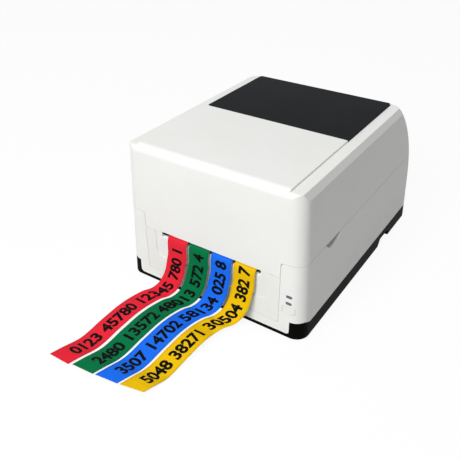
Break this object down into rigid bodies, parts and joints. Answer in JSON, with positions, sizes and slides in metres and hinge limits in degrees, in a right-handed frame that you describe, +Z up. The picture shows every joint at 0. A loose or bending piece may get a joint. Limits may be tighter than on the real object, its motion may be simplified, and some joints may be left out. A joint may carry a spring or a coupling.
{
  "type": "label printer",
  "caption": "Desktop label printer with a white hinged clamshell case on a black base, a dark top panel and coloured label tapes leaving its front slot.",
  "frame": {"origin": "middle of the base tray's underside", "axes": "+X to the printer's right as seen from its front, +Y to the rear, +Z up"},
  "size_m": [0.216, 0.4357, 0.163],
  "materials": {
    "white_case": "fine moulded satin white",
    "black_base": "moulded black",
    "black_window": "smoked black sheet",
    "lamp_grey": "grey light window",
    "rubber_black": "matte black rubber",
    "steel": "bright drawn steel",
    "plate_steel": "plated sheet steel",
    "bush_plastic": "natural acetal",
    "brass_pinion": "turned brass",
    "motor_black": "black painted motor case",
    "motor_steel": "drawn steel can",
    "dark_plastic": "moulded dark plastic",
    "socket_steel": "plated socket shell",
    "board_green": "solder-masked board",
    "sink_aluminium": "extruded heat sink",
    "heater_ceramic": "glazed heater strip",
    "ribbon_black": "inked film",
    "core_card": "wound card core",
    "paper_red": "red label tape",
    "paper_green": "green label tape",
    "paper_blue": "blue label tape",
    "paper_yellow": "yellow label tape"
  },
  "bodies": {
    "case": {"base_tray": "black_base", "rubber_feet": "rubber_black", "case_screws": "steel", "lower_housing": "white_case", "hinge_pins": "steel", "front_panel": "white_case", "light_windows": "lamp_grey", "panel_board": "board_green", "key_switch": "dark_plastic", "left_drive_plate": "plate_steel", "right_drive_plate": "plate_steel", "platen_bushes": "bush_plastic", "idler_axle": "steel", "feed_motor": "motor_black", "guide_bar": "steel", "label_sensor": "dark_plastic", "tear_bar": "steel", "roll_cradles": "dark_plastic", "label_trough": "dark_plastic", "main_board": "board_green", "board_chips": "dark_plastic", "power_inlet": "dark_plastic", "data_socket": "socket_steel", "switch_frame": "dark_plastic", "label_tape_red": "paper_red", "label_tape_green": "paper_green", "label_tape_blue": "paper_blue", "label_tape_yellow": "paper_yellow"},
    "lid": {"upper_cover": "white_case", "top_window": "black_window", "left_ribbon_plate": "plate_steel", "right_ribbon_plate": "plate_steel", "heater_strip": "heater_ceramic", "print_head": "sink_aluminium", "head_bracket": "steel", "head_guide_pins": "steel", "head_springs": "steel", "ribbon_motor": "motor_steel", "motor_posts": "steel", "ribbon_film": "ribbon_black"},
    "label_rolls": {"label_spindle": "dark_plastic", "spindle_flanges": "dark_plastic", "label_cores": "core_card", "label_roll_red": "paper_red", "label_roll_green": "paper_green", "label_roll_blue": "paper_blue", "label_roll_yellow": "paper_yellow"},
    "platen": {"platen_shaft": "steel", "platen_sleeve": "rubber_black", "platen_gear": "bush_plastic"},
    "idler": {"idler_gear": "bush_plastic"},
    "motor_rotor": {"motor_pinion": "brass_pinion"},
    "ribbon_supply": {"supply_spool": "dark_plastic", "supply_ribbon": "ribbon_black"},
    "ribbon_takeup": {"takeup_spool": "dark_plastic", "takeup_ribbon": "ribbon_black", "takeup_gear": "bush_plastic"},
    "ribbon_rotor": {"ribbon_pinion": "bush_plastic"},
    "button": {"feed_button": "white_case"},
    "rocker": {"power_rocker": "dark_plastic"}
  },
  "joints": [
    {"name": "lid_hinge", "type": "hinge", "parent": "case", "child": "lid", "pos_m": [0, 0.14164, 0.086], "axis": [-1, 0, 0], "range_deg": [0, 88]},
    {"name": "label_roll_spin", "type": "hinge", "parent": "case", "child": "label_rolls", "pos_m": [0, 0.048, 0.074], "axis": [1, 0, 0], "continuous": true},
    {"name": "platen_spin", "type": "hinge", "parent": "case", "child": "platen", "pos_m": [0, -0.128, 0.0584], "axis": [1, 0, 0], "continuous": true},
    {"name": "idler_spin", "type": "hinge", "parent": "case", "child": "idler", "pos_m": [0, -0.1095, 0.04288], "axis": [1, 0, 0], "continuous": true},
    {"name": "motor_spin", "type": "hinge", "parent": "case", "child": "motor_rotor", "pos_m": [0, -0.09892, 0.02456], "axis": [1, 0, 0], "continuous": true},
    {"name": "ribbon_supply_spin", "type": "hinge", "parent": "lid", "child": "ribbon_supply", "pos_m": [0, -0.045, 0.128], "axis": [1, 0, 0], "continuous": true},
    {"name": "ribbon_takeup_spin", "type": "hinge", "parent": "lid", "child": "ribbon_takeup", "pos_m": [0, -0.112, 0.128], "axis": [1, 0, 0], "continuous": true},
    {"name": "ribbon_motor_spin", "type": "hinge", "parent": "lid", "child": "ribbon_rotor", "pos_m": [0, -0.08785, 0.128], "axis": [1, 0, 0], "continuous": true},
    {"name": "feed_button_press", "type": "slide", "parent": "case", "child": "button", "axis": [0, 1, 0], "range_m": [0, 0.0012], "stiffness_N_per_m": 400},
    {"name": "power_rocker_tip", "type": "hinge", "parent": "case", "child": "rocker", "pos_m": [0.074, 0.142, 0.034], "axis": [1, 0, 0], "range_deg": [0, 26]}
  ],
  "couplings": [
    {"joint": "platen_spin", "follows": "label_roll_spin", "ratio": 5.1765},
    {"joint": "idler_spin", "follows": "label_roll_spin", "ratio": -3.1059},
    {"joint": "motor_spin", "follows": "label_roll_spin", "ratio": 7.7647},
    {"joint": "ribbon_takeup_spin", "follows": "ribbon_supply_spin", "ratio": 1.4667},
    {"joint": "ribbon_motor_spin", "follows": "ribbon_supply_spin", "ratio": -4.4}
  ]
}
